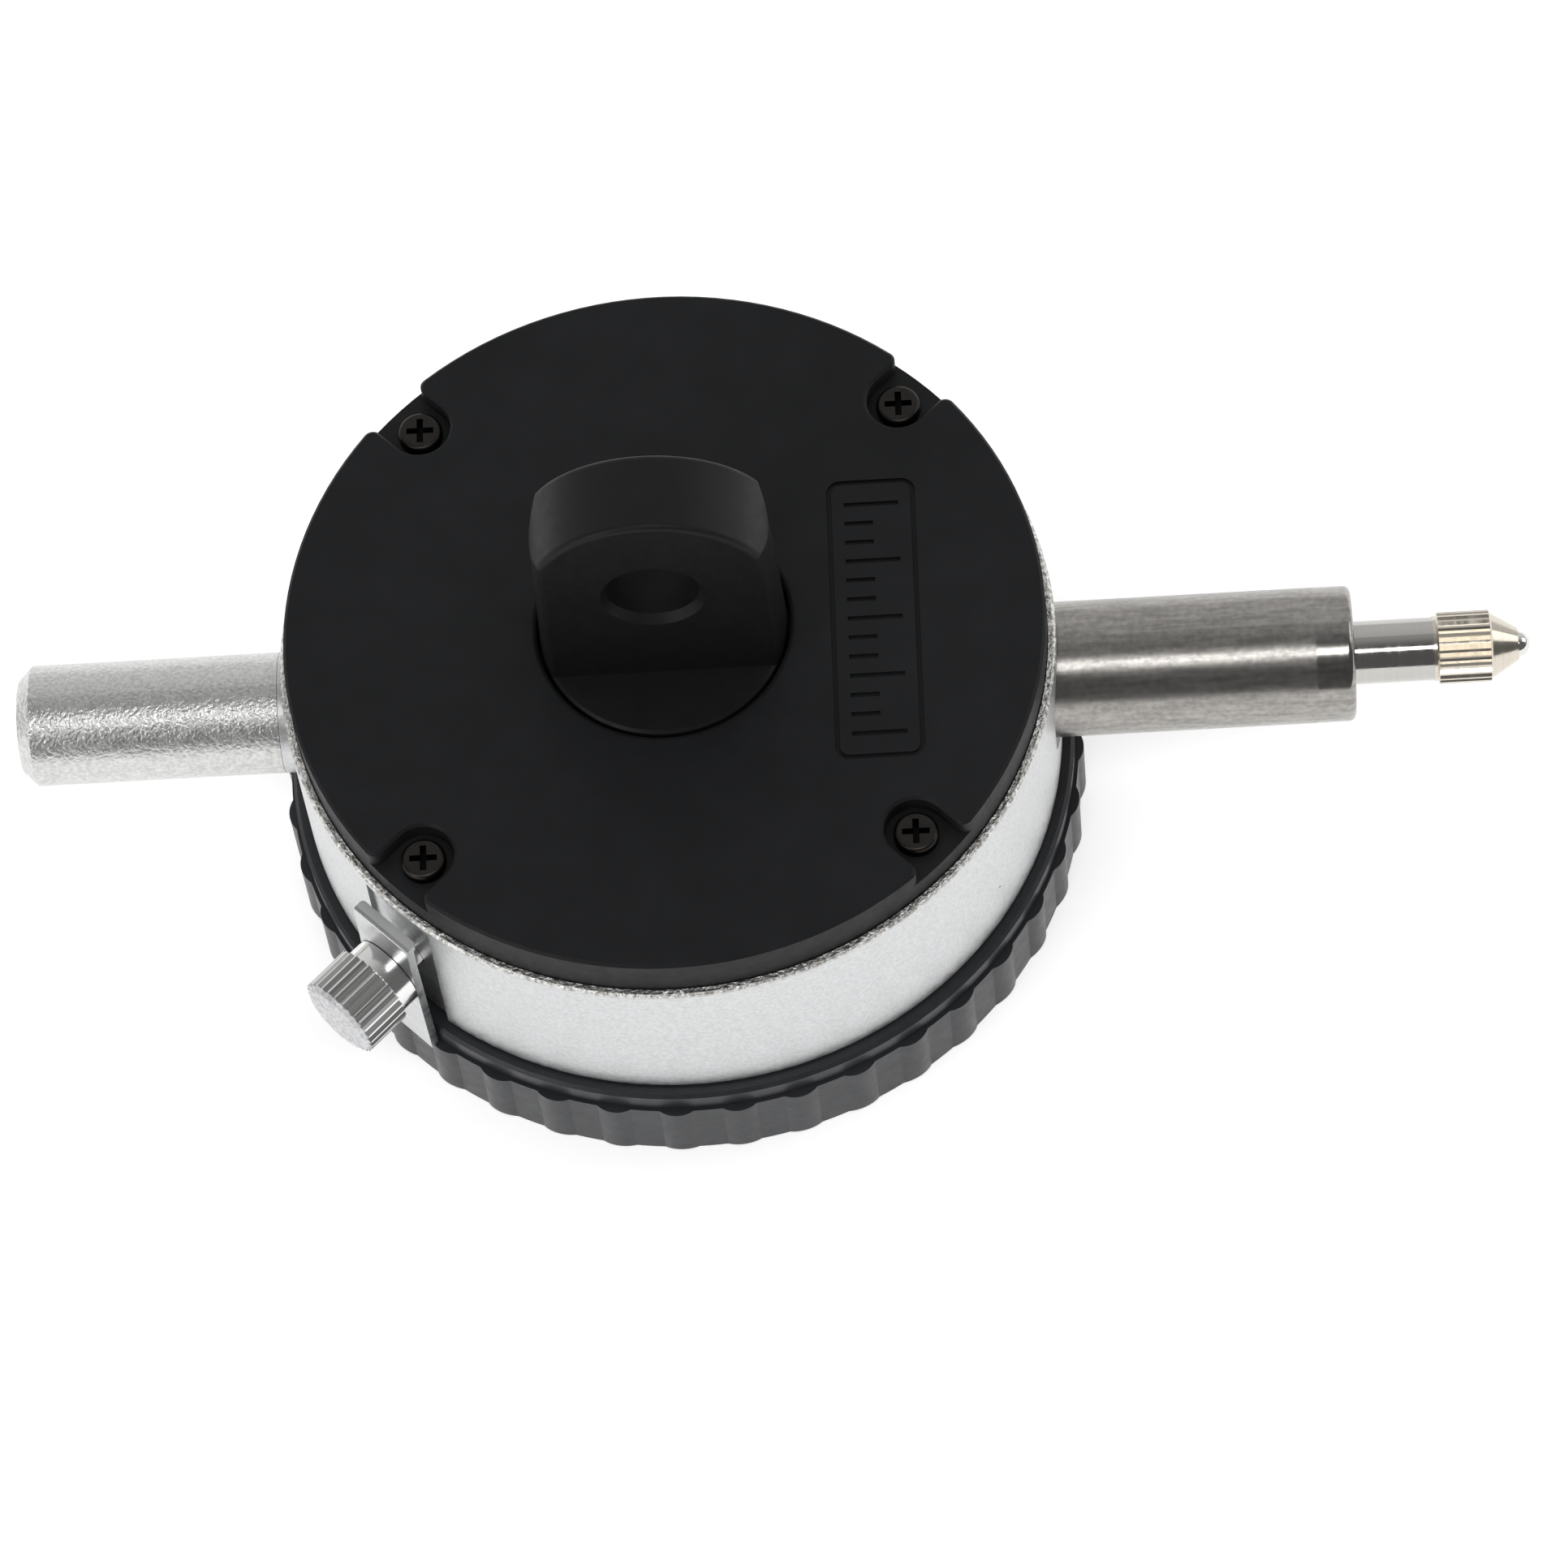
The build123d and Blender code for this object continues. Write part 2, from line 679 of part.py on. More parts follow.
# ================================================================= lug
lug_flange_z = cover_under_z - lug_flange_t
lug_root_z = cover_top_z - lug_root
with BuildPart() as lug:
    with BuildSketch(Plane.XZ):
        Polygon(
            (0, lug_root_z),
            (lug_disc_r, lug_root_z),
            (lug_disc_r, cover_top_z),
            (lug_top_r, lug_top_z + lug_root),
            (0, lug_top_z + lug_root),
            align=None,
        )
    revolve(axis=Axis.Z)
    # drafted flat faces
    with BuildSketch(Plane.YZ.offset(-lug_disc_r)):
        Polygon(
            (-lug_half_t_base, lug_root_z),
            (lug_half_t_base, lug_root_z),
            (lug_half_t_base, cover_top_z),
            (lug_half_t_top, lug_top_z + lug_root),
            (-lug_half_t_top, lug_top_z + lug_root),
            (-lug_half_t_base, cover_top_z),
            align=None,
        )
    extrude(amount=2 * lug_disc_r, mode=Mode.INTERSECT)
    # round top
    arc_z = lug_top_z - lug_arc_r
    with BuildSketch(Plane.XZ.offset(-lug_disc_r)):
        with Locations((0, arc_z)):
            Circle(lug_arc_r)
        with Locations((0, (lug_root_z + arc_z) / 2)):
            Rectangle(2 * lug_arc_r, arc_z - lug_root_z)
    extrude(amount=2 * lug_disc_r, mode=Mode.INTERSECT)
    fillet(lug.edges().filter_by(lambda e: e.center().Z > cover_top_z + lug_root), radius=lug_edge)
    # hole through the lug
    with BuildSketch(Plane.XZ.offset(-lug_disc_r)):
        with Locations((0, lug_bore_z)):
            Circle(lug_bore_r)
    extrude(amount=2 * lug_disc_r, mode=Mode.SUBTRACT)
    # countersink at each mouth of the hole
    lug_draft = (lug_half_t_base - lug_half_t_top) / (lug_height + lug_root)
    mouth_y = lug_half_t_base - lug_draft * (lug_bore_z - cover_top_z)
    for side in (-1, 1):
        with BuildSketch(Plane.YZ):
            Polygon(
                (side * (mouth_y - lug_bore_chamfer), lug_bore_z),
                (side * (mouth_y - lug_bore_chamfer), lug_bore_z + lug_bore_r),
                (side * (mouth_y + lug_root), lug_bore_z + lug_bore_r + lug_bore_chamfer + lug_root),
                (side * (mouth_y + lug_root), lug_bore_z),
                align=None,
            )
        revolve(axis=Axis((0, 0, lug_bore_z), (0, 1, 0)), mode=Mode.SUBTRACT)
    # disc that fills the cover's hole, and the flange that holds it from inside
    with BuildSketch(Plane.XZ):
        Polygon(
            (0, lug_flange_z),
            (lug_flange_r, lug_flange_z),
            (lug_flange_r, cover_under_z),
            (lug_disc_r, cover_under_z),
            (lug_disc_r, cover_top_z - lug_disc_edge),
            (lug_disc_r - lug_disc_edge, cover_top_z),
            (0, cover_top_z),
            align=None,
        )
    revolve(axis=Axis.Z)
    with BuildSketch(Plane.XY.offset(lug_flange_z)):
        with PolarLocations(lug_screw_ring, lug_screw_count):
            Circle(lug_screw_shank_r)
    extrude(amount=lug_flange_t, mode=Mode.SUBTRACT)
finish(lug.part, "lug")

with BuildPart() as lug_screws:
    for turn in range(lug_screw_count):
        angle = 2 * math.pi * turn / lug_screw_count
        screw_at(
            lug_screw_ring * math.cos(angle),
            lug_screw_ring * math.sin(angle),
            lug_flange_z,
            lug_screw_head_r,
            lug_screw_head_t,
            lug_screw_shank_r,
            lug_screw_length,
            up=-1,
        )
finish(lug_screws.part, "lug_screws")

# ================================================================= spindle line, fixed pieces
with BuildPart() as stem:
    bar_along_x(stem_seat_x, stem_r, stem_end_x - stem_seat_x)
    fillet(stem.edges().sort_by(Axis.X)[-1], radius=stem_edge)
    bar_along_x(stem_seat_x - shank_length, shank_r, shank_length)
    bar_along_x(stem_seat_x - shank_length, stem_bore_r, shank_length + stem_length, mode=Mode.SUBTRACT)
    bar_along_x(stem_end_x - front_bush_length, front_bush_r, front_bush_length, mode=Mode.SUBTRACT)
finish(stem.part, "stem")

with BuildPart() as front_bush:
    bar_along_x(stem_end_x - front_bush_length, front_bush_r, front_bush_length - end_gap)
    bar_along_x(stem_end_x - front_bush_length, spindle_r + bush_gap, front_bush_length, mode=Mode.SUBTRACT)
finish(front_bush.part, "front_bush")

with BuildPart() as rear_bush:
    bar_along_x(rear_bush_end_x, rear_bush_r, rear_bush_length)
    bar_along_x(rear_bush_end_x, spindle_r + bush_gap, rear_bush_length, mode=Mode.SUBTRACT)
finish(rear_bush.part, "rear_bush")

with BuildPart() as dust_cap:
    bar_along_x(cap_end_x, cap_r, cap_open_x - cap_end_x)
    chamfer(dust_cap.edges().sort_by(Axis.X)[0], length=cap_bevel)
    cap_bore_length = cap_length - cap_thread_length - cap_wall_end
    bar_along_x(cap_end_x + cap_wall_end, cap_bore_r, cap_bore_length, mode=Mode.SUBTRACT)
    bar_along_x(cap_open_x - cap_thread_length, rear_bush_r, cap_thread_length, mode=Mode.SUBTRACT)
finish(dust_cap.part, "dust_cap")

# ================================================================= spindle and what it carries
with BuildPart() as spindle:
    bar_along_x(spindle_rear_x, spindle_r, contact_x - spindle_rear_x)
    bar_along_x(contact_x - stud_length - end_gap, stud_r, stud_length + end_gap, mode=Mode.SUBTRACT)
    # flat and rack teeth facing the rack pinion
    low_x = -gear_x - (rack_low_teeth + rack_flat_margin) * rack_pitch
    high_x = -gear_x + (rack_high_teeth + rack_flat_margin) * rack_pitch
    tip_y = rack_line_y + tip_share * rack_module
    root_y = rack_line_y - root_share * rack_module
    slope = math.tan(math.radians(pressure_angle))
    gap_half = rack_pitch / 4 + tooth_slack / 2
    with BuildSketch(Plane.XY.offset(spindle_z - spindle_r)):
        with Locations(((low_x + high_x) / 2, tip_y + spindle_r / 2)):
            Rectangle(high_x - low_x, spindle_r)
        for tooth in range(-rack_low_teeth, rack_high_teeth + 1):
            x = -gear_x + tooth * rack_pitch
            wide = gap_half + (tip_y - rack_line_y) * slope
            narrow = gap_half - (rack_line_y - root_y) * slope
            Polygon(
                (x - wide, tip_y),
                (x - narrow, root_y),
                (x + narrow, root_y),
                (x + wide, tip_y),
                align=None,
            )
    extrude(amount=2 * spindle_r, mode=Mode.SUBTRACT)
    # cross hole for the guide pin
    with BuildSketch(Plane.XZ):
        with Locations((pin_x, spindle_z)):
            Circle(pin_r)
    extrude(amount=spindle_r + end_gap, mode=Mode.SUBTRACT)
finish(spindle.part, "spindle")

with BuildPart() as stop_collar:
    collar_x = rear_bush_end_x - collar_gap - collar_length
    bar_along_x(collar_x, collar_r, collar_length)
    bar_along_x(collar_x, spindle_r, collar_length, mode=Mode.SUBTRACT)
finish(stop_collar.part, "stop_collar")

with BuildPart() as guide_pin:
    with BuildSketch(Plane.XZ):
        with Locations((pin_x, spindle_z)):
            Circle(pin_r)
    extrude(amount=-pin_end_y)
finish(guide_pin.part, "guide_pin")

ball_x = point_tip_x - ball_r
with BuildPart() as contact_point:
    knurl_x = contact_x + point_neck
    cone_x = knurl_x + knurl_length
    with BuildSketch(Plane.XZ):
        Polygon(
            (contact_x, spindle_z),
            (contact_x, spindle_z + point_neck_r),
            (knurl_x - knurl_bevel, spindle_z + point_neck_r),
            (knurl_x, spindle_z + knurl_r),
            (cone_x, spindle_z + knurl_r),
            (cone_x + knurl_bevel, spindle_z + cone_large_r),
            (cone_x + cone_length, spindle_z + cone_small_r),
            (cone_x + cone_length, spindle_z),
            align=None,
        )
    revolve(axis=Axis((0, 0, spindle_z), (1, 0, 0)))
    # straight knurl
    with BuildSketch(Plane(origin=(knurl_x, 0, spindle_z), z_dir=(1, 0, 0))):
        with PolarLocations(knurl_r, knurl_count):
            Polygon(
                (-knurl_depth, 0),
                (knurl_depth, 2 * knurl_half_w),
                (knurl_depth, -2 * knurl_half_w),
                align=None,
            )
    extrude(amount=knurl_length, mode=Mode.SUBTRACT)
    bar_along_x(contact_x - stud_length, stud_r, stud_length)
    with Locations((ball_x, 0, spindle_z)):
        Sphere(ball_r, mode=Mode.SUBTRACT)
finish(contact_point.part, "contact_point")

with BuildPart() as contact_ball:
    with Locations((ball_x, 0, spindle_z)):
        Sphere(ball_r)
finish(contact_ball.part, "contact_ball")

# ================================================================= bezel and what turns with it
with BuildPart() as bezel:
    with BuildSketch():
        Circle(land_r)
        with PolarLocations(bezel_r - rib_r, rib_count, start_angle=rib_phase):
            Circle(rib_r)
    extrude(amount=grip_top_z)
    with BuildSketch(Plane.XZ):
        Polygon(
            (0, 0),
            (bezel_r - front_chamfer, 0),
            (bezel_r, front_chamfer),
            (bezel_r, grip_top_z),
            (0, grip_top_z),
            align=None,
        )
    revolve(axis=Axis.Z, mode=Mode.INTERSECT)
    with BuildSketch(Plane.XZ):
        Polygon(
            (dial_seat_r, grip_top_z),
            (flange_r, grip_top_z),
            (flange_r, bezel_top_z - flange_edge),
            (flange_r - flange_edge, bezel_top_z),
            (dial_seat_r, bezel_top_z),
            align=None,
        )
    revolve(axis=Axis.Z)
    groove_half = wire_r + 2 * wire_gap
    with BuildSketch(Plane.XZ):
        Polygon(
            (0, 0),
            (crystal_seat_r, 0),
            (lip_r, lip_t),
            (crystal_seat_r, lip_t),
            (crystal_seat_r, dial_ledge_z),
            (dial_seat_r, dial_ledge_z),
            (dial_seat_r, dial_ledge_z + dial_seat_t),
            (bezel_bore_r, dial_ledge_z + dial_seat_t),
            (bezel_bore_r, bezel_top_z),
            (0, bezel_top_z),
            align=None,
        )
        with Locations((wire_ring_r, wire_z)):
            Rectangle(2 * groove_half, 2 * groove_half)
    revolve(axis=Axis.Z, mode=Mode.SUBTRACT)
finish(bezel.part, "bezel")

with BuildPart() as crystal_gasket:
    ring_at(lip_t, crystal_seat_r - seat_gap, lip_r, crystal_gasket_t)
finish(crystal_gasket.part, "crystal_gasket")

with BuildPart() as crystal:
    disc_at(0, 0, crystal_z, crystal_seat_r - seat_gap, crystal_t)
finish(crystal.part, "crystal")

with BuildPart() as dial_spacer:
    spacer_r = crystal_seat_r - seat_gap
    with BuildSketch(Plane.XZ):
        Polygon(
            (spacer_r, spacer_z),
            (spacer_r, dial_ledge_z),
            (spacer_r - spacer_wall_high, dial_ledge_z),
            (spacer_r - spacer_wall_low, spacer_z),
            align=None,
        )
    revolve(axis=Axis.Z)
finish(dial_spacer.part, "dial_spacer")

with BuildPart() as dial_ring:
    ring_at(dial_ledge_z, dial_seat_r - seat_gap, dial_split_r + dial_split_gap / 2, dial_t)
finish(dial_ring.part, "dial_ring")

with BuildPart() as dial_keeper:
    ring_at(dial_top_z, dial_seat_r - seat_gap, dial_seat_r - keeper_wall, keeper_t)
finish(dial_keeper.part, "dial_keeper")

# ================================================================= dial centre and bezel spring wire
with BuildPart() as dial_centre:
    disc_at(0, 0, dial_ledge_z, dial_split_r - dial_split_gap / 2, pad_z - dial_ledge_z)
    disc_at(0, 0, dial_ledge_z, dial_hole_r, pad_z - dial_ledge_z, mode=Mode.SUBTRACT)
    disc_at(-gear_x, gear_y, dial_ledge_z, dial_hole_r, pad_z - dial_ledge_z, mode=Mode.SUBTRACT)
    for x, y in dial_feet_at:
        disc_at(x, y, pad_z, dial_foot_r, dial_foot_length)
finish(dial_centre.part, "dial_centre")

with BuildPart() as bezel_wire:
    with BuildLine() as wire_path:
        CenterArc((0, 0, wire_z), wire_ring_r, -wire_swept / 2, wire_swept)
    with BuildSketch(Plane(origin=wire_path.line @ 0, z_dir=wire_path.line % 0)):
        Circle(wire_r)
    sweep(path=wire_path.line)
finish(bezel_wire.part, "bezel_wire")

# ================================================================= bezel clamp
with BuildPart() as clamp_bracket:
    plate_low = bracket_low_z - clamp_z
    plate_high = bracket_top_z - clamp_z
    with BuildSketch(clamp_plane(bracket_in_v)):
        Polygon(
            (-bracket_half_w_low, plate_low),
            (bracket_half_w_low, plate_low),
            (bracket_half_w, plate_high / 2),
            (bracket_half_w, plate_high),
            (-bracket_half_w, plate_high),
            (-bracket_half_w, plate_high / 2),
            align=None,
        )
    extrude(amount=bracket_t)
    with BuildSketch(clamp_plane(tab_in_v)):
        with Locations((0, plate_high - bracket_t / 2)):
            Rectangle(2 * bracket_half_w, bracket_t)
    extrude(amount=bracket_in_v - tab_in_v)
    tab_corners = clamp_bracket.edges().filter_by(Axis.Z).filter_by(
        lambda e: math.hypot(e.center().X, e.center().Y) < bracket_in_v - running
    )
    fillet(tab_corners, radius=tab_corner)
    bend = clamp_bracket.edges().filter_by(
        lambda e: abs(e.length - 2 * bracket_half_w) < 0.01
        and e.center().Z > bracket_top_z - 0.01
        and math.hypot(e.center().X, e.center().Y) > bracket_out_v - 0.01
    )
    fillet(bend, radius=bracket_bend)
    clamp_disc(bracket_in_v, clamp_shank_r + bracket_gap, bracket_t, mode=Mode.SUBTRACT)
finish(clamp_bracket.part, "clamp_bracket")

with BuildPart() as clamp_screw:
    head_v = clamp_neck_v + clamp_neck
    dome_v = head_v + clamp_head
    clamp_disc(clamp_thread_in_v, clamp_shank_r, clamp_neck_v - clamp_thread_in_v)
    clamp_disc(clamp_neck_v, clamp_neck_r, clamp_neck)
    clamp_disc(head_v, clamp_head_r, clamp_head)
    with BuildSketch(clamp_plane(head_v)):
        with PolarLocations(clamp_head_r, clamp_knurl_count):
            Polygon(
                (-clamp_knurl_depth, 0),
                (clamp_knurl_depth, 2 * clamp_knurl_half_w),
                (clamp_knurl_depth, -2 * clamp_knurl_half_w),
                align=None,
            )
    extrude(amount=clamp_head, mode=Mode.SUBTRACT)
    with BuildSketch(clamp_plane(dome_v)):
        Circle(clamp_head_r - clamp_knurl_depth)
    with BuildSketch(clamp_plane(dome_v + clamp_dome)):
        Circle(clamp_dome_r)
    loft()
finish(clamp_screw.part, "clamp_screw")

# ================================================================= movement frame
with BuildPart() as movement_plate:
    disc_at(0, 0, plate_z, plate_r, plate_t)
    for x, y in plate_screws_at:
        disc_at(x, y, plate_z, small_shank_r, plate_t, mode=Mode.SUBTRACT)
    for x, y in ((0, 0), (-gear_x, gear_y), (gear_x, gear_y)):
        disc_at(x, y, plate_z, bush_r, plate_t, mode=Mode.SUBTRACT)
    disc_at(post_x, spring_y, plate_z, post_r, plate_t, mode=Mode.SUBTRACT)
    for x in guide_screws_x:
        disc_at(x, guide_screw_y, plate_z, small_shank_r, plate_t, mode=Mode.SUBTRACT)
finish(movement_plate.part, "movement_plate")

with BuildPart() as plate_screws:
    for x, y in plate_screws_at:
        screw_at(x, y, plate_top_z, small_head_r, small_head_t, small_shank_r, small_shank)
finish(plate_screws.part, "plate_screws")

with BuildPart() as bridge_pillars:
    for x, y in pillars_at:
        disc_at(x, y, plate_top_z, pillar_r, bridge_z - plate_top_z)
        disc_at(x, y, bridge_z, small_shank_r, bridge_t - small_shank, mode=Mode.SUBTRACT)
finish(bridge_pillars.part, "bridge_pillars")

with BuildPart() as bridge_plate:
    with BuildSketch(Plane.XY.offset(bridge_z)):
        with Locations(*pillars_at):
            Circle(bridge_corner_r)
        make_hull()
    extrude(amount=bridge_t)
    for x, y in pillars_at:
        disc_at(x, y, bridge_z, small_shank_r, bridge_t, mode=Mode.SUBTRACT)
    for x in (-gear_x, gear_x):
        disc_at(x, gear_y, bridge_z, upper_bush_r, bridge_t, mode=Mode.SUBTRACT)
    disc_at(gear_x + hairspring_reach, gear_y, bridge_z, stud_pin_r, bridge_t, mode=Mode.SUBTRACT)
finish(bridge_plate.part, "bridge_plate")

with BuildPart() as bridge_screws:
    for x, y in pillars_at:
        screw_at(x, y, bridge_top_z, small_head_r, small_head_t, small_shank_r, small_shank)
finish(bridge_screws.part, "bridge_screws")

with BuildPart() as cock_pillars:
    for side in (-1, 1):
        disc_at(0, side * cock_pillar_y, plate_top_z, cock_pillar_r, cock_z - plate_top_z)
        disc_at(0, side * cock_pillar_y, cock_z, small_shank_r, cock_t - small_shank, mode=Mode.SUBTRACT)
finish(cock_pillars.part, "cock_pillars")

with BuildPart() as cock_plate:
    with BuildSketch(Plane.XY.offset(cock_z)):
        SlotCenterToCenter(2 * cock_pillar_y, 2 * cock_half_w, rotation=90)
    extrude(amount=cock_t)
    for side in (-1, 1):
        disc_at(0, side * cock_pillar_y, cock_z, small_shank_r, cock_t, mode=Mode.SUBTRACT)
    disc_at(0, 0, cock_z, upper_bush_r, cock_t, mode=Mode.SUBTRACT)
finish(cock_plate.part, "cock_plate")

with BuildPart() as cock_screws:
    seat_z = cock_z + cock_t
    for side in (-1, 1):
        screw_at(0, side * cock_pillar_y, seat_z, small_head_r, small_head_t, small_shank_r, small_shank)
finish(cock_screws.part, "cock_screws")

with BuildPart() as arbor_bushes:
    disc_at(0, 0, plate_z, bush_r, plate_t)
    disc_at(0, 0, plate_z, centre_arbor_r + bush_gap, plate_t, mode=Mode.SUBTRACT)
    disc_at(-gear_x, gear_y, plate_z, bush_r, plate_t)
    disc_at(-gear_x, gear_y, plate_z, arbor_r + bush_gap, plate_t, mode=Mode.SUBTRACT)
    disc_at(gear_x, gear_y, plate_z, bush_r, plate_t)
    disc_at(gear_x, gear_y, plate_z, pivot_r + bush_gap, plate_t, mode=Mode.SUBTRACT)
    for x, y, z, height in (
        (-gear_x, gear_y, bridge_z, bridge_t),
        (gear_x, gear_y, bridge_z, bridge_t),
        (0, 0, cock_z, cock_t),
    ):
        disc_at(x, y, z, upper_bush_r, height)
        disc_at(x, y, z, pivot_r + bush_gap, height, mode=Mode.SUBTRACT)
finish(arbor_bushes.part, "arbor_bushes")

# ================================================================= gears on their arbors
with BuildPart() as rack_pinion:
    disc_at(-gear_x, gear_y, hand_z - end_gap, arbor_r, hub_low_z - hand_z + end_gap)
    disc_at(-gear_x, gear_y, hub_low_z, hub_r, pinion_z - hub_low_z)
    gear_at(-gear_x, gear_y, pinion_z, pinion_face, pinion_teeth, rack_module, -90)
    disc_at(-gear_x, gear_y, pinion_top_z, hub_r, pivot_shoulder_z - pinion_top_z)
    disc_at(-gear_x, gear_y, pivot_shoulder_z, pivot_r, pivot_end_z - pivot_shoulder_z)
finish(rack_pinion.part, "rack_pinion")

with BuildPart() as transfer_gear:
    gear_at(-gear_x, gear_y, wheel_z, wheel_t, wheel_teeth, train_module, transfer_turned)
    disc_at(-gear_x, gear_y, wheel_z, hub_r, wheel_t, mode=Mode.SUBTRACT)
finish(transfer_gear.part, "transfer_gear")

with BuildPart() as centre_pinion:
    disc_at(0, 0, pointer_hub_z - seat_gap, centre_arbor_r, hub_low_z - pointer_hub_z + seat_gap)
    disc_at(0, 0, hub_low_z, centre_core_r, cock_z - end_gap - hub_low_z)
    face_z = wheel_z - centre_face_margin
    face = wheel_t + 2 * centre_face_margin
    gear_at(0, 0, face_z, face, centre_teeth, train_module, centre_turned)
    disc_at(0, 0, cock_z - end_gap, pivot_r, cock_t + end_gap - seat_gap)
finish(centre_pinion.part, "centre_pinion")

with BuildPart() as takeup_arbor:
    disc_at(gear_x, gear_y, plate_z + seat_gap, pivot_r, hub_low_z - plate_z - seat_gap)
    disc_at(gear_x, gear_y, hub_low_z, hub_r, collet_z - hub_low_z)
    disc_at(gear_x, gear_y, collet_z, collet_r, collet_t)
    disc_at(gear_x, gear_y, collet_z + collet_t, arbor_r, pivot_shoulder_z - collet_z - collet_t)
    disc_at(gear_x, gear_y, pivot_shoulder_z, pivot_r, pivot_end_z - pivot_shoulder_z)
finish(takeup_arbor.part, "takeup_arbor")

with BuildPart() as takeup_gear:
    gear_at(gear_x, gear_y, wheel_z, wheel_t, wheel_teeth, train_module, takeup_turned)
    disc_at(gear_x, gear_y, wheel_z, hub_r, wheel_t, mode=Mode.SUBTRACT)
finish(takeup_gear.part, "takeup_gear")

# ================================================================= hands
with BuildPart() as pointer:
    with BuildSketch(Plane.XY.offset(pointer_z)):
        Polygon(
            (-pointer_tail_half_w, -pointer_tail),
            (pointer_tail_half_w, -pointer_tail),
            (pointer_half_w, 0),
            (pointer_tip_half_w, pointer_length),
            (-pointer_tip_half_w, pointer_length),
            (-pointer_half_w, 0),
            align=None,
        )
    extrude(amount=pointer_t)
    disc_at(0, 0, pointer_hub_z, pointer_hub_r, pointer_hub_t)
    disc_at(0, 0, pointer_hub_z, centre_arbor_r, pointer_hub_t, mode=Mode.SUBTRACT)
finish(pointer.part, "pointer")

with BuildPart() as counter_hand:
    with BuildSketch(Plane.XY.offset(hand_z)):
        Polygon(
            (-gear_x + hand_tail, gear_y - hand_half_w),
            (-gear_x + hand_tail, gear_y + hand_half_w),
            (-gear_x, gear_y + hand_half_w),
            (-gear_x - hand_length, gear_y),
            (-gear_x, gear_y - hand_half_w),
            align=None,
        )
    extrude(amount=hand_t)
    disc_at(-gear_x, gear_y, hand_z, hand_hub_r, hand_hub_t)
    disc_at(-gear_x, gear_y, hand_z, arbor_r, hand_hub_t, mode=Mode.SUBTRACT)
finish(counter_hand.part, "counter_hand")

# ================================================================= guide rail and springs
with BuildPart() as guide_rail:
    with BuildSketch(Plane.XZ.offset(-guide_y)):
        with Locations(((guide_low_x + guide_high_x) / 2, (plate_top_z + guide_top_z) / 2)):
            Rectangle(guide_high_x - guide_low_x, guide_top_z - plate_top_z)
        with Locations(((slot_low_x + slot_high_x) / 2, spindle_z)):
            Rectangle(slot_high_x - slot_low_x, 2 * (pin_r + bush_gap), mode=Mode.SUBTRACT)
    extrude(amount=guide_t)
    with BuildSketch(Plane.XY.offset(plate_top_z)):
        with Locations(((guide_low_x + guide_high_x) / 2, guide_screw_y)):
            Rectangle(guide_high_x - guide_low_x, guide_foot_w)
    extrude(amount=guide_foot_t)
    for x in guide_screws_x:
        disc_at(x, guide_screw_y, plate_top_z, small_shank_r, guide_foot_t, mode=Mode.SUBTRACT)
finish(guide_rail.part, "guide_rail")

with BuildPart() as guide_screws:
    seat_z = plate_top_z + guide_foot_t
    for x in guide_screws_x:
        screw_at(x, guide_screw_y, seat_z, guide_head_r, small_head_t, small_shank_r, seat_z - plate_z)
finish(guide_screws.part, "guide_screws")

with BuildPart() as spring_post:
    disc_at(post_x, spring_y, plate_z, post_r, post_top_z - plate_z)
finish(spring_post.part, "spring_post")

with BuildPart() as return_spring:
    coil_length = spring_turns * spring_pitch
    coil_x = (pin_x + post_x - coil_length) / 2
    coil_start = (coil_x, spring_y, spindle_z)
    with BuildLine() as coil:
        Helix(spring_pitch, coil_length, spring_r, center=coil_start, direction=(1, 0, 0))
    helix_start = coil.line @ 0
    helix_end = coil.line @ 1
    with BuildSketch(Plane(origin=helix_start, z_dir=coil.line % 0)):
        Circle(spring_wire_r)
    sweep(path=coil.line, is_frenet=True)
    # hooks round the guide pin and the post, and the straight legs to them
    with Locations(Plane(origin=(pin_x, spring_y, spindle_z), z_dir=(0, 1, 0))):
        Torus(hook_r, spring_wire_r)
    with Locations((post_x, spring_y, helix_end.Z)):
        Torus(hook_r, spring_wire_r)
    rod_between((pin_x + hook_r, spring_y, spindle_z), tuple(helix_start), spring_wire_r)
    leg_start = (helix_end.X - spring_wire_r, spring_y, helix_end.Z)
    leg_end = (post_x - hook_r, spring_y, helix_end.Z)
    rod_between(leg_start, leg_end, spring_wire_r)
    with Locations(helix_start, helix_end):
        Sphere(spring_wire_r + bush_gap)
finish(return_spring.part, "return_spring")

with BuildPart() as hairspring:
    spiral = []
    for step in range(hairspring_steps + 1):
        angle = 2 * math.pi * hairspring_turns * step / hairspring_steps
        radius = collet_r + hairspring_t / 2 + hairspring_pitch * angle / (2 * math.pi)
        spiral.append((gear_x - radius * math.cos(angle), gear_y + radius * math.sin(angle)))
    with BuildSketch(Plane.XY.offset(hairspring_z)):
        with BuildLine() as coil:
            Spline(*spiral)
        trace(lines=coil.edges(), line_width=hairspring_t)
    extrude(amount=hairspring_h)
finish(hairspring.part, "hairspring")

with BuildPart() as hairspring_stud:
    stud_x = gear_x + hairspring_reach
    disc_at(stud_x, gear_y, stud_low_z, stud_pin_r, bridge_top_z - stud_low_z)
    with BuildSketch(Plane.XY.offset(hairspring_z)):
        with Locations((stud_x, gear_y + stud_pin_r)):
            Rectangle(stud_slot_w, 2 * stud_pin_r)
    extrude(amount=hairspring_h, mode=Mode.SUBTRACT)
finish(hairspring_stud.part, "hairspring_stud")
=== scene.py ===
"""Looks for the plunger dial indicator: materials, printed dial marks, floor, light and camera."""

import math

import bmesh
import bpy
from mathutils import Matrix, Vector


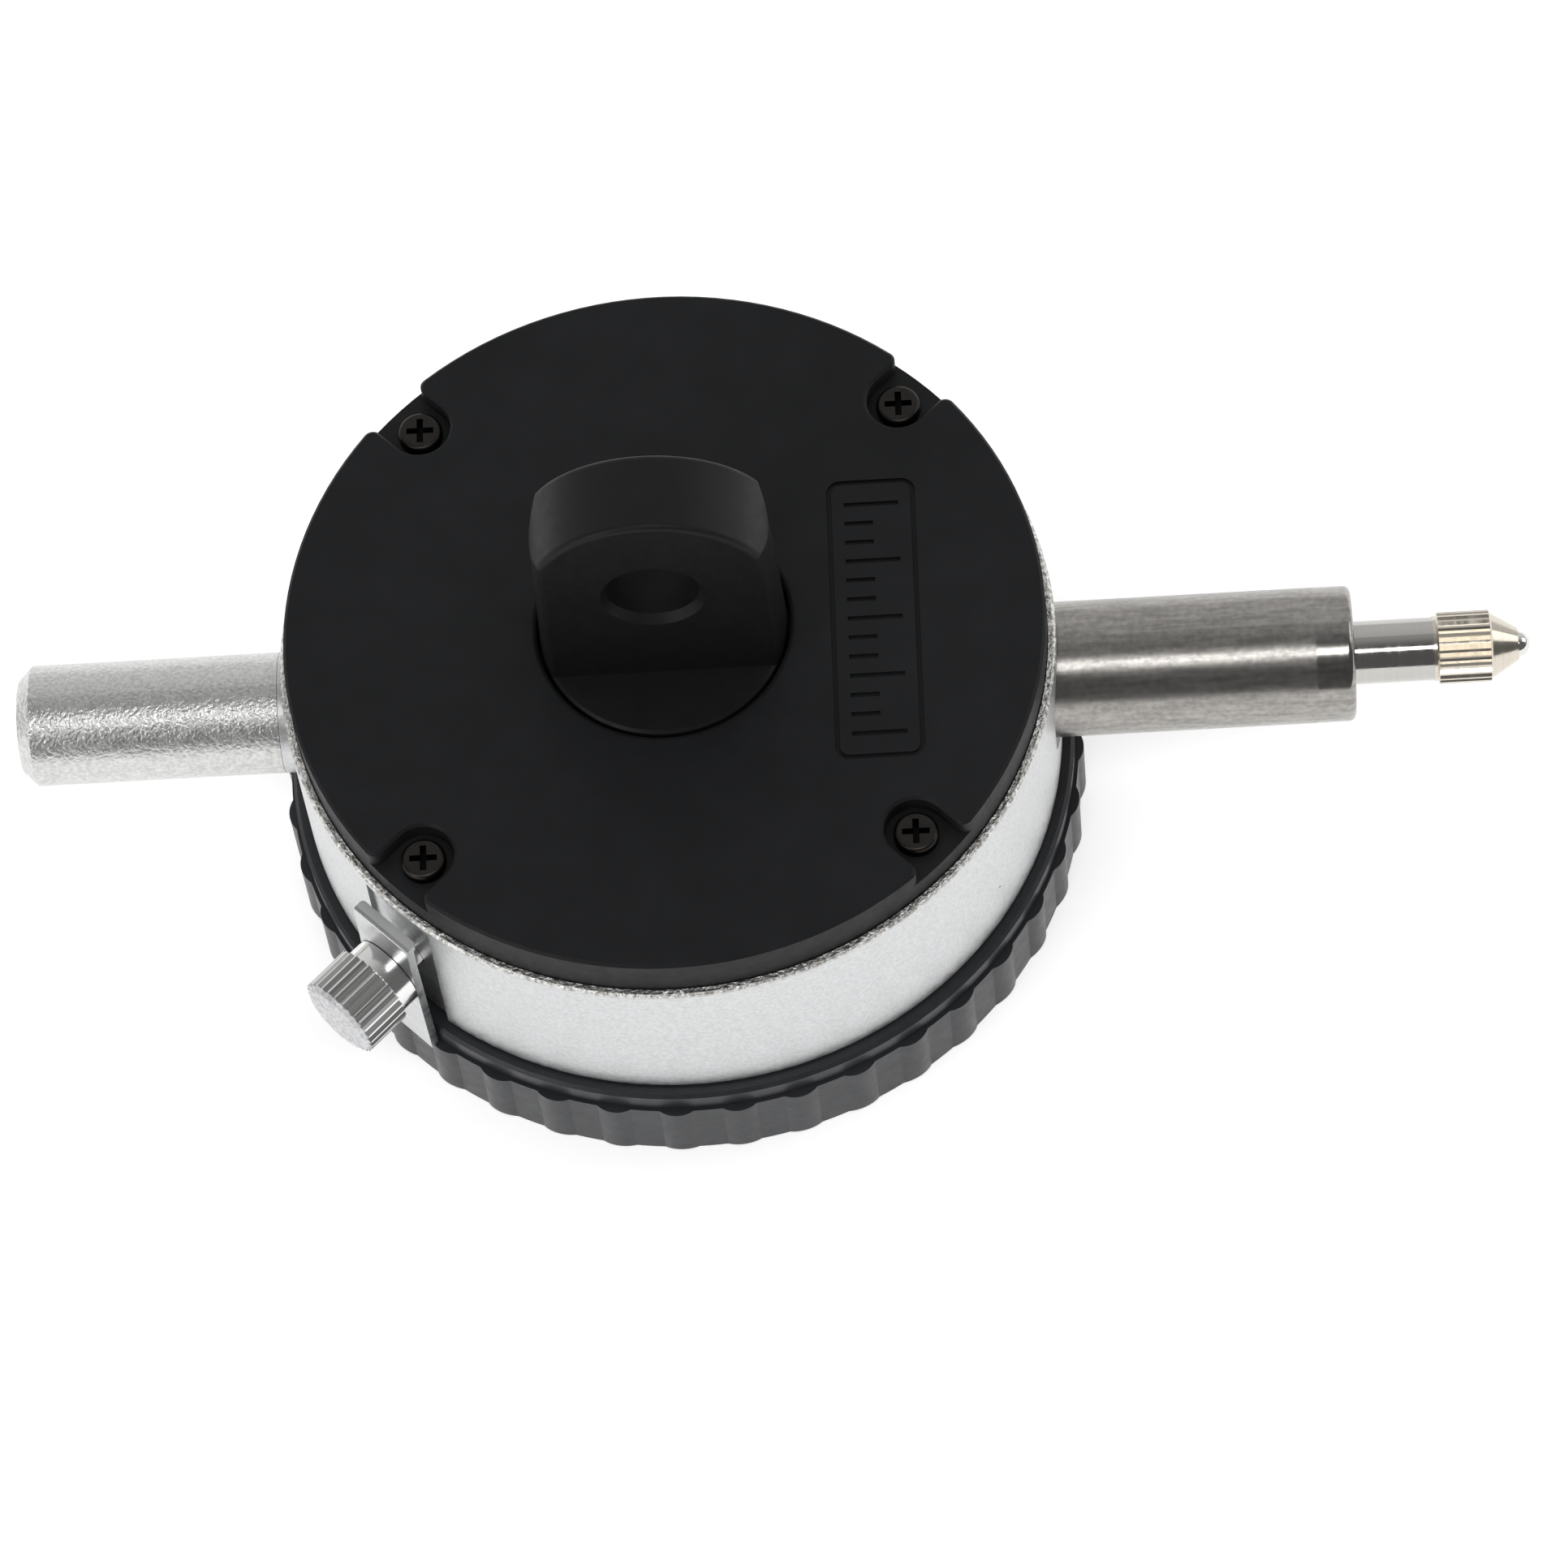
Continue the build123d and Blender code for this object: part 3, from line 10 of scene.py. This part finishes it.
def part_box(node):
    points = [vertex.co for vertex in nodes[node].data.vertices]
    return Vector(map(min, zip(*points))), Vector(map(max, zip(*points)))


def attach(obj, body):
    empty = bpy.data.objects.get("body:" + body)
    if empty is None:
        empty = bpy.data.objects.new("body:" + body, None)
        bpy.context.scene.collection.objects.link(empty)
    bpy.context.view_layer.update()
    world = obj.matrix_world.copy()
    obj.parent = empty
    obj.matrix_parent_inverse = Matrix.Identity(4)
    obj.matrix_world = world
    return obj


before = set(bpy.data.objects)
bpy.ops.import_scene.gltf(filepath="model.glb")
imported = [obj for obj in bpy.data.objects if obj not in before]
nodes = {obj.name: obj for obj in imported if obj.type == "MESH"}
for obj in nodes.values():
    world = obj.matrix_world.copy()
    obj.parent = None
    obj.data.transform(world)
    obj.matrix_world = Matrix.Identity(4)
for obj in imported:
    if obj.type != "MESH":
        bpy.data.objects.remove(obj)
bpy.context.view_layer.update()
MM = 0.001


# ------------------------------------------------------------------ material helpers
class Shader:
    """A node material with a Principled surface and short calls for the patterns that it uses."""

    def __init__(self, name, base, rough, metal=1.0, **sockets):
        self.mat = bpy.data.materials.new(name)
        self.mat.use_nodes = True
        self.tree = self.mat.node_tree
        self.bsdf = self.tree.nodes["Principled BSDF"]
        self.base = base
        self.set("Base Color", (*base, 1.0))
        self.set("Roughness", rough)
        self.set("Metallic", metal)
        for key, value in sockets.items():
            self.set(key.replace("_", " "), value)
        self.coords = self.tree.nodes.new("ShaderNodeTexCoord").outputs["Object"]

    def set(self, socket, value):
        self.bsdf.inputs[socket].default_value = value

    def link(self, output, socket):
        self.tree.links.new(output, socket)

    def drive(self, socket, output):
        """Lets a pattern set one of the surface's inputs."""
        self.link(output, self.bsdf.inputs[socket])

    def stretched(self, scale):
        """The object's coordinates, in metres, stretched by a scale for each axis."""
        node = self.tree.nodes.new("ShaderNodeMapping")
        node.inputs["Scale"].default_value = scale
        self.link(self.coords, node.inputs["Vector"])
        return node.outputs["Vector"]

    def noise(self, scale, detail=3.0, stretch=(1, 1, 1)):
        """A cloudy pattern from 0 to 1; the larger the scale, the finer it is."""
        node = self.tree.nodes.new("ShaderNodeTexNoise")
        node.inputs["Scale"].default_value = scale
        node.inputs["Detail"].default_value = detail
        self.link(self.stretched(stretch), node.inputs["Vector"])
        return node.outputs["Fac"]

    def cells(self, scale):
        """Distance from the nearest of many scattered points, and a random number for each of them."""
        node = self.tree.nodes.new("ShaderNodeTexVoronoi")
        node.inputs["Scale"].default_value = scale
        self.link(self.coords, node.inputs["Vector"])
        return node.outputs["Distance"], node.outputs["Color"]

    def ramp(self, value, low, high, to_low=0.0, to_high=1.0):
        """Maps value from the range low..high to to_low..to_high, clamped."""
        node = self.tree.nodes.new("ShaderNodeMapRange")
        for socket, number in zip(
            ("From Min", "From Max", "To Min", "To Max"), (low, high, to_low, to_high)
        ):
            node.inputs[socket].default_value = number
        self.link(value, node.inputs["Value"])
        return node.outputs["Result"]

    def math(self, kind, a, b):
        """One sum on a and b; each is a number or an output."""
        node = self.tree.nodes.new("ShaderNodeMath")
        node.operation = kind
        for socket, value in zip(node.inputs, (a, b)):
            if isinstance(value, (int, float)):
                socket.default_value = value
            else:
                self.link(value, socket)
        return node.outputs["Value"]

    def axis(self, letter):
        """One of the object's coordinates, in metres."""
        node = self.tree.nodes.new("ShaderNodeSeparateXYZ")
        self.link(self.coords, node.inputs["Vector"])
        return node.outputs[letter]

    def mix(self, factor, a, b):
        """Colour a where factor is 0 and b where it is 1; each is a colour or an output."""
        node = self.tree.nodes.new("ShaderNodeMix")
        node.data_type = "RGBA"
        self.link(factor, node.inputs["Factor"])
        for socket, value in zip((node.inputs["A"], node.inputs["B"]), (a, b)):
            if isinstance(value, tuple):
                socket.default_value = (*value, 1.0)
            else:
                self.link(value, socket)
        return node.outputs["Result"]

    def tones(self, factor, dark, light):
        """A colour between two shares of the base colour."""
        low, high = (tuple(c * share for c in self.base) for share in (dark, light))
        return self.mix(factor, low, high)

    def shade(self, factor, dark, light):
        """Colours the surface between two shares of its base colour."""
        self.drive("Base Color", self.tones(factor, dark, light))

    def roughen(self, factor, low, high):
        """Varies the roughness from low to high over the middle of a pattern's range."""
        self.drive("Roughness", self.ramp(factor, 0.3, 0.7, low, high))

    def bump(self, *layers):
        """Adds bumps of the given (height, depth in metres) layers."""
        normal = None
        for height, depth in layers:
            node = self.tree.nodes.new("ShaderNodeBump")
            node.inputs["Strength"].default_value = 1.0
            node.inputs["Distance"].default_value = depth
            self.link(height, node.inputs["Height"])
            if normal is not None:
                self.link(normal, node.inputs["Normal"])
            normal = node.outputs["Normal"]
        self.drive("Normal", normal)


def blasted(name, base, rough, mottle, dark, light):
    """Metal blasted with fine beads, and its mottled colour between two shares of the base."""
    s = Shader(name, base, rough)
    s.roughen(s.noise(1500, 3), rough - 0.05, rough + 0.06)
    return s, s.tones(s.ramp(s.noise(mottle, 3), 0.35, 0.65), dark, light)


def turned(name, base, rough, axis="X", lines=14000, depth=1.5e-6, tone=0.82):
    """Metal with fine tool marks that run round the given axis."""
    stretch = tuple(1.0 if letter == axis else 0.012 for letter in "XYZ")
    s = Shader(name, base, rough)
    marks = s.noise(lines, 3, stretch)
    s.shade(s.ramp(marks, 0.32, 0.68), tone, 1.0)
    s.roughen(s.noise(lines * 0.2, 3, stretch), rough - 0.05, rough + 0.08)
    s.bump((marks, depth))
    return s


def plain_metal(name, base, rough, depth=1e-6, tone=0.93):
    """Smooth metal with faint handling marks."""
    s = Shader(name, base, rough)
    s.shade(s.ramp(s.noise(420, 4), 0.3, 0.7), tone, 1.0)
    s.roughen(s.noise(900, 4), max(0.02, rough - 0.04), rough + 0.06)
    s.bump((s.noise(2600, 3), depth))
    return s


def moulded(name, base, rough, grain=7000, depth=5e-6, tone=0.8, **sockets):
    """Moulded plastic, rubber or paint with a fine grain."""
    s = Shader(name, base, rough, 0.0, **sockets)
    s.shade(s.ramp(s.noise(300, 4), 0.3, 0.7), tone, 1.0)
    s.roughen(s.noise(1200, 3), rough - 0.04, rough + 0.05)
    s.bump((s.noise(grain, 2), depth))
    return s


# ------------------------------------------------------------------ the materials
def case_satin():
    """Blasted metal with a few dark specks, and a rough rim below the cover: bare metal speckled with
    painted glints.
    """
    s, mottled = blasted("case_satin", (0.70, 0.705, 0.71), 0.40, mottle=3600, dark=0.90, light=1.04)
    gap, pick = s.cells(400)
    third = s.math("GREATER_THAN", pick, 0.66)
    speck = s.math("MULTIPLY", s.ramp(gap, 0.03, 0.05, 1.0, 0.0), third)
    spotted = s.mix(speck, mottled, (0.05, 0.047, 0.042))

    case_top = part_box("case")[1][2]
    rim = s.ramp(s.axis("Z"), case_top - 0.3 * MM, case_top - 0.15 * MM)
    # the rim is bare metal, and its colour is speckled up to white as painted glints
    painted_glints = s.ramp(s.noise(3000, 4), 0.42, 0.58)
    rim_colour = s.mix(painted_glints, (0.55, 0.53, 0.50), (1.0, 1.0, 0.98))
    s.drive("Base Color", s.mix(rim, spotted, rim_colour))

    grain_depth = 0.011 * MM
    dent_depth = 0.2 * MM
    dents = s.math("MULTIPLY", s.noise(2600, 3), rim)
    s.bump((s.noise(5200, 2), grain_depth), (dents, dent_depth))
    return s


def stem_ground():
    """Steel ground along its length, with its end polished."""
    s = Shader("stem_ground", (0.375, 0.36, 0.34), 0.27)
    streaks = s.noise(2600, 4, (0.12, 1.0, 1.0))
    specks = s.noise(2300, 4)
    worked = s.math("ADD", s.math("MULTIPLY", streaks, 0.55), s.math("MULTIPLY", specks, 0.45))
    s.shade(s.ramp(worked, 0.38, 0.62), 0.74, 1.14)
    stem_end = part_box("stem")[1][0]
    s.drive("Roughness", s.ramp(s.axis("X"), stem_end - 2.75 * MM, stem_end - 2.6 * MM, 0.27, 0.16))
    s.bump((specks, 0.003 * MM))
    return s


def cap_blasted():
    """Metal blasted more coarsely than the case."""
    s, mottled = blasted("cap_blasted", (0.70, 0.70, 0.685), 0.33, mottle=3400, dark=0.84, light=1.08)
    s.drive("Base Color", mottled)
    s.bump((s.noise(3800, 2), 0.06 * MM))
    return s


def screw_black():
    """Blackened screws, with painted shade down in the cross."""
    s = Shader("screw_black", (0.043, 0.039, 0.036), 0.36)
    screw_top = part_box("cover_screws")[1][2]
    # painted shade: near black below the top 0.45 mm, down in the cross
    above_painted_shade = s.ramp(s.axis("Z"), screw_top - 0.45 * MM, screw_top - 0.3 * MM)
    s.drive("Base Color", s.mix(above_painted_shade, (0.006, 0.006, 0.006), s.tones(s.noise(1400, 4), 0.75, 1.15)))
    s.roughen(s.noise(900, 4), 0.32, 0.42)
    s.bump((s.noise(2600, 3), 0.003 * MM))
    return s


def clamp_nickel():
    """Bright thumbscrew with a blasted end; its axis points half way between -X and -Y."""
    bright = (0.86, 0.86, 0.85)
    bright_rough = 0.13
    blasted_rough = 0.5
    s = Shader("clamp_nickel", bright, bright_rough)
    outward = s.math("MULTIPLY", s.math("ADD", s.axis("X"), s.axis("Y")), -math.sqrt(0.5))

    # the knob's corner sets the box's low X side, at (knob_end + knob_r) / sqrt(2) from the middle
    low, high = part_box("clamp_screw")
    knob_r = (high[2] - low[2]) / 2
    knob_end = -low[0] * math.sqrt(2) - knob_r
    end_face = s.ramp(outward, knob_end - 0.06 * MM, knob_end)

    grains = s.noise(3200, 3)
    grey = s.mix(s.ramp(grains, 0.35, 0.65), (0.50, 0.50, 0.51), (0.76, 0.76, 0.77))
    s.drive("Base Color", s.mix(end_face, bright, grey))
    s.drive("Roughness", s.ramp(end_face, 0.0, 1.0, bright_rough, blasted_rough))
    s.bump((s.math("MULTIPLY", grains, end_face), 0.05 * MM))
    return s


def crystal_clear():
    """Clear acrylic."""
    s = Shader("crystal_clear", (0.97, 0.985, 0.98), 0.02, 0.0, Transmission_Weight=1.0, IOR=1.49)
    s.roughen(s.noise(500, 4), 0.0, 0.04)
    return s


LOOKS = {
    "case": case_satin(),
    "back_cover": moulded("cover_plastic", (0.0185, 0.0192, 0.021), 0.5, Specular_IOR_Level=0.16),
    "lug": moulded("lug_plastic", (0.0125, 0.0128, 0.0138), 0.46, Specular_IOR_Level=0.22),
    "gasket": moulded("gasket_rubber", (0.02, 0.02, 0.02), 0.7),
    "black_screw": screw_black(),
    "steel_screw": turned("screw_steel", (0.6, 0.59, 0.57), 0.28, axis="Z"),
    "stem": stem_ground(),
    "spindle": turned("spindle_polished", (0.56, 0.545, 0.52), 0.1, depth=4e-7, tone=0.93),
    "coarse_blast": cap_blasted(),
    "contact_point": turned("point_nickel", (0.72, 0.665, 0.575), 0.16, depth=6e-7, tone=0.9),
    "contact_ball": plain_metal("ball_polished", (0.8, 0.79, 0.77), 0.06, depth=2e-7),
    "clamp_screw": clamp_nickel(),
    "clamp_bracket": turned(
        "bracket_zinc", (0.66, 0.665, 0.67), 0.28, axis="Z", lines=6000, depth=2e-6, tone=0.85
    ),
    "bezel": moulded(
        "bezel_black", (0.030, 0.0315, 0.036), 0.38, grain=4200, depth=1.5e-5, Specular_IOR_Level=0.36
    ),
    "crystal": crystal_clear(),
    "dial": moulded("dial_paint", (0.86, 0.86, 0.83), 0.55, tone=0.97),
    "print": moulded("dial_print", (0.012, 0.012, 0.013), 0.5),
    "hand": moulded("hand_paint", (0.01, 0.01, 0.011), 0.35),
    "bronze": turned("bush_bronze", (0.56, 0.40, 0.22), 0.3, axis="Z"),
    "plate": plain_metal("plate_brass", (0.72, 0.55, 0.28), 0.3),
    "gear": turned("gear_brass", (0.75, 0.57, 0.26), 0.26, axis="Z"),
    "steel": plain_metal("arbor_steel", (0.62, 0.61, 0.6), 0.18),
    "wire": plain_metal("spring_wire", (0.42, 0.42, 0.44), 0.25),
}

FINISH = {
    "case": ["case"],
    "back_cover": ["back_cover"],
    "lug": ["lug"],
    "gasket": ["cover_gasket", "crystal_gasket"],
    "black_screw": ["cover_screws"],
    "steel_screw": ["lug_screws", "plate_screws", "bridge_screws", "cock_screws", "guide_screws"],
    "stem": ["stem"],
    "spindle": ["spindle"],
    "coarse_blast": ["dust_cap", "dial_keeper"],
    "contact_point": ["contact_point"],
    "contact_ball": ["contact_ball"],
    "clamp_screw": ["clamp_screw"],
    "clamp_bracket": ["clamp_bracket"],
    "bezel": ["bezel"],
    "crystal": ["crystal"],
    "dial": ["dial_ring", "dial_centre", "dial_spacer"],
    "hand": ["pointer", "counter_hand"],
    "bronze": ["front_bush", "rear_bush", "arbor_bushes"],
    "plate": [
        "movement_plate",
        "bridge_plate",
        "cock_plate",
        "bridge_pillars",
        "cock_pillars",
        "guide_rail",
        "hairspring_stud",
    ],
    "gear": ["transfer_gear", "takeup_gear"],
    "steel": ["spring_post", "stop_collar", "guide_pin", "rack_pinion", "centre_pinion", "takeup_arbor"],
    "wire": ["return_spring", "hairspring", "bezel_wire"],
}

for look, members in FINISH.items():
    for member in members:
        for place in nodes[member].material_slots:
            place.material = LOOKS[look].mat


# ------------------------------------------------------------------ printed dial
dial_low, dial_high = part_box("dial_ring")
rack_low, rack_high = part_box("rack_pinion")
DIAL_Z = dial_low[2]
DIAL_CENTRE = Vector((0, 0, 0))
COUNTER_CENTRE = Vector(((rack_low[0] + rack_high[0]) / 2, (rack_low[1] + rack_high[1]) / 2, 0))
PRINT_T = 0.008 * MM
SCALE_R = dial_high[0] - 3.5 * MM
COUNTER_R = 4.4 * MM
NUMBER_INSET = 4.45 * MM
NUMBER_HEIGHT = 2.1 * MM
DIGIT_OFFSET = 1.1 * MM
DIGIT_HEIGHT = 1.4 * MM

# kinds of mark, the longest first: (falls on every so many marks, length, width)
DIAL_MARKS = ((10, 3.2 * MM, 0.3 * MM), (5, 2.6 * MM, 0.22 * MM), (1, 1.8 * MM, 0.14 * MM))
COUNTER_MARKS = ((3, 0.9 * MM, 0.16 * MM), (1, 0.5 * MM, 0.16 * MM))


def dial_way(degrees):
    """Direction on the dial, clockwise from the top as seen from the front; the top is at -X."""
    angle = math.radians(degrees)
    return Vector((-math.cos(angle), -math.sin(angle), 0))


def add_block(bm, centre, way, length, width):
    """A thin printed bar centred at a point of the dial, with its length along way."""
    across = Vector((way.y, -way.x, 0))
    corners = []
    for level in (DIAL_Z, DIAL_Z - PRINT_T):
        for a, b in ((-1, -1), (1, -1), (1, 1), (-1, 1)):
            point = centre + way * (a * length / 2) + across * (b * width / 2)
            corners.append(bm.verts.new((point.x, point.y, level)))
    for face in ((0, 1, 2, 3), (7, 6, 5, 4), (0, 4, 5, 1), (1, 5, 6, 2), (2, 6, 7, 3), (3, 7, 4, 0)):
        bm.faces.new([corners[i] for i in face])


def add_ring(bm, centre, inner, width, steps):
    """A thin printed circle."""
    outer = inner + width
    low = DIAL_Z - PRINT_T
    rows = []
    for step in range(steps):
        way = dial_way(360 * step / steps)
        row = []
        for radius, level in ((inner, DIAL_Z), (outer, DIAL_Z), (outer, low), (inner, low)):
            row.append(bm.verts.new((centre.x + way.x * radius, centre.y + way.y * radius, level)))
        rows.append(row)
    for step in range(steps):
        here, there = rows[step], rows[(step + 1) % steps]
        for i in range(4):
            j = (i + 1) % 4
            bm.faces.new((here[i], here[j], there[j], there[i]))


def add_marks(bm, centre, radius, count, kinds):
    """Marks all round a circle, pointing inwards from it."""
    for mark in range(count):
        way = dial_way(360 * mark / count)
        length, width = next(size for every, *size in kinds if mark % every == 0)
        add_block(bm, centre + way * (radius - length / 2), way, length, width)


def add_number(bm, text, centre, height):
    """A printed number that reads upright from the front of the dial."""
    curve = bpy.data.curves.new("number", "FONT")
    curve.body = text
    curve.size = height
    curve.align_x = "CENTER"
    curve.align_y = "CENTER"
    curve.extrude = PRINT_T / 2
    curve.resolution_u = 4
    holder = bpy.data.objects.new("number", curve)
    bpy.context.scene.collection.objects.link(holder)
    bpy.context.view_layer.update()
    mesh = bpy.data.meshes.new_from_object(holder.evaluated_get(bpy.context.evaluated_depsgraph_get()))
    turn = Matrix(((0, -1, 0, 0), (-1, 0, 0, 0), (0, 0, -1, 0), (0, 0, 0, 1)))
    mesh.transform(Matrix.Translation((centre.x, centre.y, DIAL_Z - PRINT_T / 2)) @ turn)
    bm.from_mesh(mesh)
    bpy.data.objects.remove(holder)
    bpy.data.meshes.remove(mesh)


def add_numbers(bm, labels, centre, radius, step, height):
    """Numbers round a circle, a step of degrees apart."""
    for index, label in enumerate(labels):
        add_number(bm, str(label), centre + dial_way(step * index) * radius, height)


def finish_print(bm, name, body):
    """Turns a bmesh into a printed piece that rides on a body."""
    bmesh.ops.remove_doubles(bm, verts=bm.verts, dist=1e-8)
    bmesh.ops.recalc_face_normals(bm, faces=bm.faces)
    mesh = bpy.data.meshes.new(name)
    bm.to_mesh(mesh)
    bm.free()
    piece = bpy.data.objects.new(name, mesh)
    bpy.context.scene.collection.objects.link(piece)
    mesh.materials.append(LOOKS["print"].mat)
    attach(piece, body)


marks = bmesh.new()
add_marks(marks, DIAL_CENTRE, SCALE_R, 100, DIAL_MARKS)
add_ring(marks, DIAL_CENTRE, SCALE_R, 0.15 * MM, 180)
finish_print(marks, "dial_scale", "bezel")

numbers = bmesh.new()
add_numbers(numbers, range(0, 100, 10), DIAL_CENTRE, SCALE_R - NUMBER_INSET, 36, NUMBER_HEIGHT)
finish_print(numbers, "dial_numbers", "bezel")

counter = bmesh.new()
add_marks(counter, COUNTER_CENTRE, COUNTER_R, 12, COUNTER_MARKS)
add_ring(counter, COUNTER_CENTRE, COUNTER_R, 0.12 * MM, 96)
finish_print(counter, "counter_scale", "body")

# the counter hand turns against the pointer, so its numbers run anticlockwise
digits = bmesh.new()
add_numbers(digits, range(4), COUNTER_CENTRE, COUNTER_R + DIGIT_OFFSET, -90, DIGIT_HEIGHT)
finish_print(digits, "counter_numbers", "body")

# ------------------------------------------------------------------ floor, light and camera
FLOOR_HALF = 2.0
FLOOR_GAP = 0.02 * MM
AIM = Vector((0, 0, 12 * MM))

floor_mesh = bpy.data.meshes.new("floor")
corners = [(a * FLOOR_HALF, b * FLOOR_HALF, 0) for a, b in ((-1, -1), (1, -1), (1, 1), (-1, 1))]
floor_mesh.from_pydata(corners, [], [(0, 1, 2, 3)])
floor = bpy.data.objects.new("floor", floor_mesh)
floor.location.z = -FLOOR_GAP
bpy.context.scene.collection.objects.link(floor)
paper = Shader("floor_paper", (0.93, 0.93, 0.93), 0.9, 0.0, Emission_Strength=0.6)
paper.set("Emission Color", (1, 1, 1, 1))
floor_mesh.materials.append(paper.mat)

scene = bpy.context.scene
scene.view_settings.view_transform = "Standard"
world = scene.world or bpy.data.worlds.new("World")
scene.world = world
world.use_nodes = True
sky = world.node_tree.nodes["Background"]
sky.inputs["Strength"].default_value = 1.0

# the sky is dim in front and overhead, and bright towards +Y
way_in = world.node_tree.nodes.new("ShaderNodeTexCoord").outputs["Generated"]
split = world.node_tree.nodes.new("ShaderNodeSeparateXYZ")
world.node_tree.links.new(way_in, split.inputs["Vector"])
fade = world.node_tree.nodes.new("ShaderNodeMapRange")
fade.interpolation_type = "SMOOTHSTEP"
for socket, number in (("From Min", -0.35), ("From Max", 0.95), ("To Min", 0.13), ("To Max", 0.7)):
    fade.inputs[socket].default_value = number
world.node_tree.links.new(split.outputs["Y"], fade.inputs["Value"])
world.node_tree.links.new(fade.outputs["Result"], sky.inputs["Color"])


def area_light(name, place, size, energy):
    """A rectangular soft light at a place in metres, aimed at the indicator; energy in watts."""
    data = bpy.data.lights.new(name, "AREA")
    data.shape = "RECTANGLE"
    data.size, data.size_y = size
    data.energy = energy
    lamp = bpy.data.objects.new(name, data)
    scene.collection.objects.link(lamp)
    lamp.location = place
    lamp.rotation_euler = (AIM - Vector(place)).to_track_quat("-Z", "Y").to_euler()


area_light("key", place=(0.05, -0.30, 0.72), size=(0.5, 0.14), energy=1.1)
area_light("side", place=(0.55, 0.12, 0.30), size=(0.25, 0.35), energy=0.35)
area_light("left", place=(-0.42, -0.42, 0.34), size=(0.30, 0.30), energy=0.9)

# the photograph's camera: a long lens about 0.53 m away, shifted along its own side and up directions
LENS = 170.4
SENSOR = 36.0
AZIMUTH = math.radians(5.303)
ELEVATION = math.radians(62.446)
ROLL = math.radians(-7.85)
DISTANCE = 525.64 * MM
SIDE = 7.519 * MM
RISE = -4.959 * MM
NEAR = 10 * MM
back = Vector(
    (
        math.sin(AZIMUTH) * math.cos(ELEVATION),
        -math.cos(AZIMUTH) * math.cos(ELEVATION),
        math.sin(ELEVATION),
    )
)
level = Vector((math.cos(AZIMUTH), math.sin(AZIMUTH), 0))
upright = back.cross(level)
right = level * math.cos(ROLL) + upright * math.sin(ROLL)
up = upright * math.cos(ROLL) - level * math.sin(ROLL)
lens = bpy.data.cameras.new("camera")
lens.lens = LENS
lens.sensor_width = SENSOR
lens.clip_start = NEAR
camera = bpy.data.objects.new("camera", lens)
scene.collection.objects.link(camera)
station = AIM + back * DISTANCE + right * SIDE + up * RISE
turn = Matrix((right, up, back)).transposed()
camera.matrix_world = Matrix.Translation(station) @ turn.to_4x4()
scene.camera = camera
